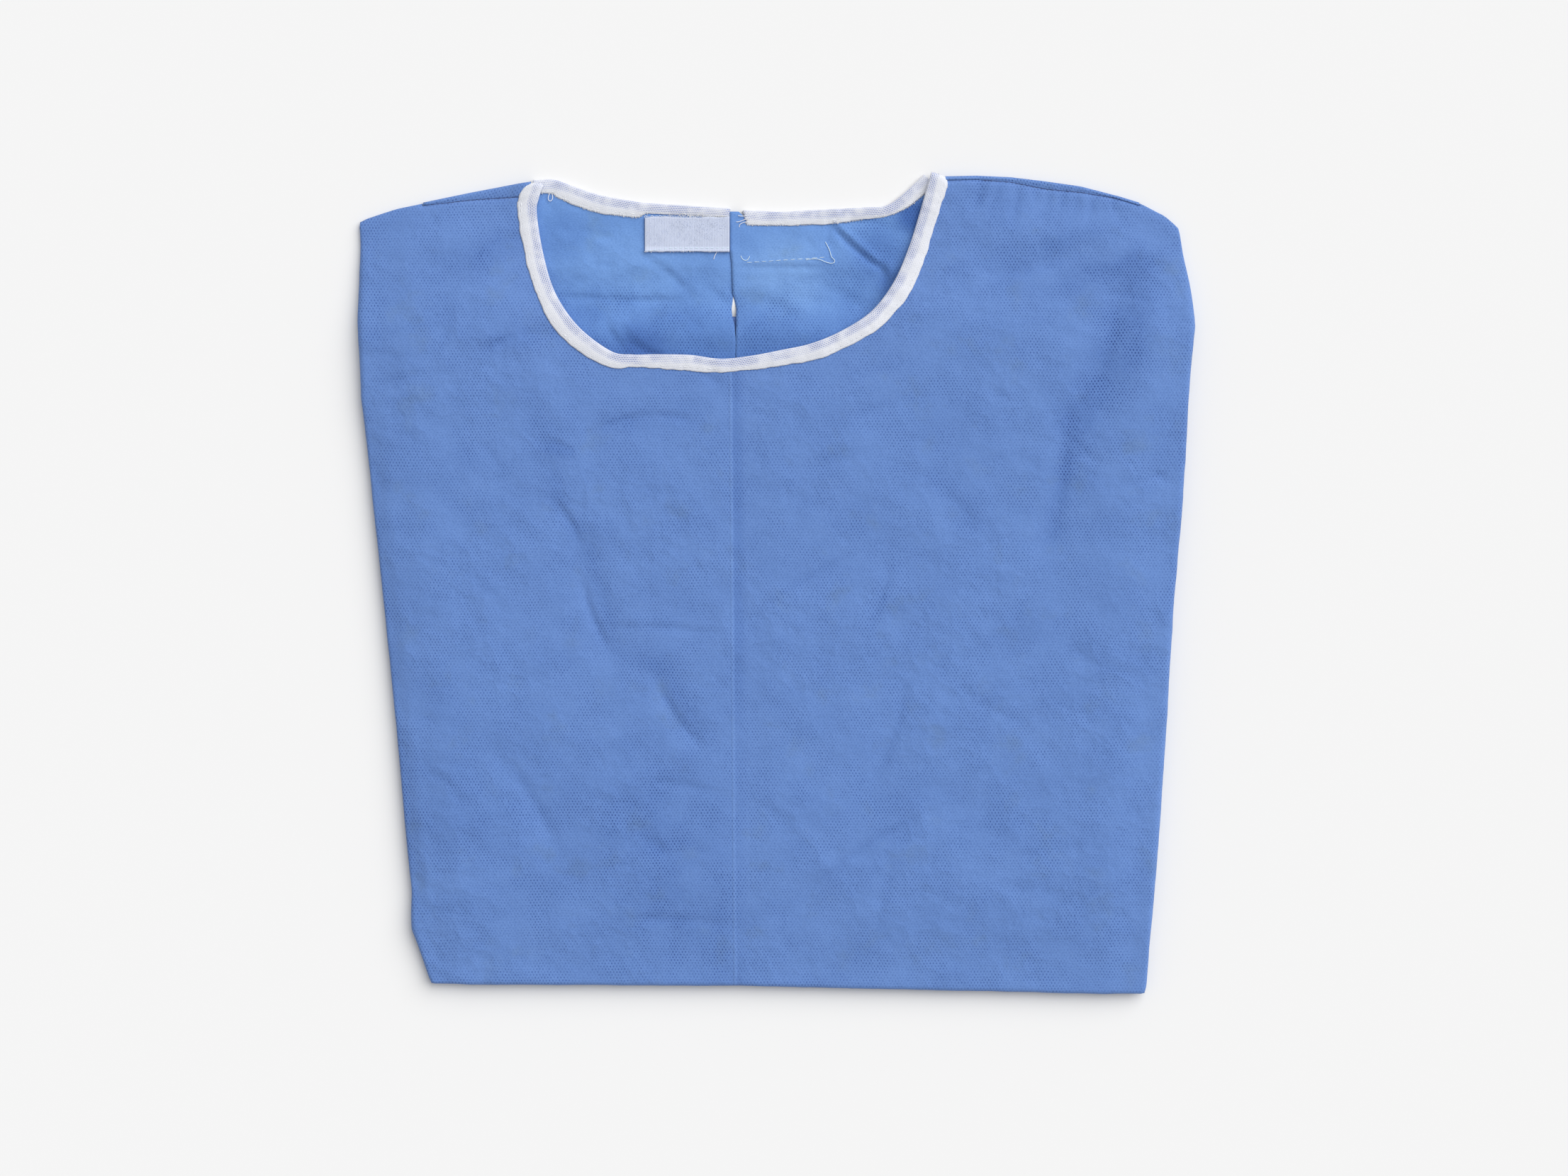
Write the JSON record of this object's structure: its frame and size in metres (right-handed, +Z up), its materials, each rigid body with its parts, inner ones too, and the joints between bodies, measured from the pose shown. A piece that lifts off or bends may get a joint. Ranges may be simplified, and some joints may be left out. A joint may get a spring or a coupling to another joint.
{
  "type": "visitor gown",
  "caption": "Visitor gown of light blue dotted non-woven cloth with a knitted white neck binding, folded flat and lying on its folded-in tail.",
  "frame": {"origin": "middle of the folded gown's outline, on the surface it lies on", "axes": "+X across the gown towards the right of its front as seen from above, +Y from the bottom fold towards the neck, +Z up from the surface"},
  "size_m": [0.4732, 0.4648, 0.0131],
  "materials": {
    "blue_nonwoven": "matt non-woven cloth with small embossed dots",
    "blue_nonwoven_folded": "matt non-woven cloth with small embossed dots, folded in layers",
    "white_knit_binding": "soft white knit, folded over the neck edge",
    "white_closure_tape": "napped hook and loop tape"
  },
  "bodies": {
    "root": {"front": "blue_nonwoven", "back_left": "blue_nonwoven", "back_right": "blue_nonwoven", "neck_binding_front": "white_knit_binding", "neck_binding_back_left": "white_knit_binding", "neck_binding_back_right": "white_knit_binding", "loop_tape": "white_closure_tape", "hook_tape": "white_closure_tape", "folded_layers": "blue_nonwoven_folded"}
  },
  "joints": []
}
